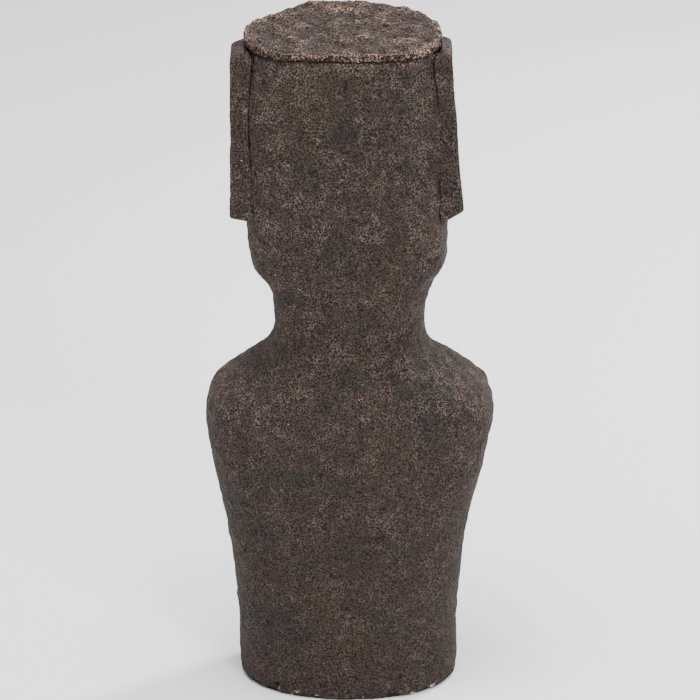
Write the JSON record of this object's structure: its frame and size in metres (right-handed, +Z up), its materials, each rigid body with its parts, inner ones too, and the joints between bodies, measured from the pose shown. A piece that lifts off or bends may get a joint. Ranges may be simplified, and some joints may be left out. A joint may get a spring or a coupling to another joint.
{
  "type": "ancestor figure",
  "caption": "Tall standing ancestor figure with a flat-backed long head, slab ears, a narrow neck, sloping shoulders and a tapering body on an oval foot",
  "frame": {"origin": "centre of the drain hole on the floor plane, in the middle of the foot of the body", "axes": "+Z up, the face looks along -Y, the figure's own left is +X"},
  "size_m": [0.3341, 0.237, 0.8],
  "materials": {
    "painted_casting": "matte",
    "rough_crown": "matte",
    "bare_cement": "matte",
    "glass_mat": "matte"
  },
  "bodies": {
    "root": {"back_shell": "painted_casting", "front_shell": "painted_casting", "crown_cap": "rough_crown", "left_ear": "painted_casting", "right_ear": "painted_casting", "base_plate": "bare_cement", "back_mat_liner": "glass_mat", "front_mat_liner": "glass_mat", "left_seam_strip": "glass_mat", "right_seam_strip": "glass_mat"}
  },
  "joints": []
}
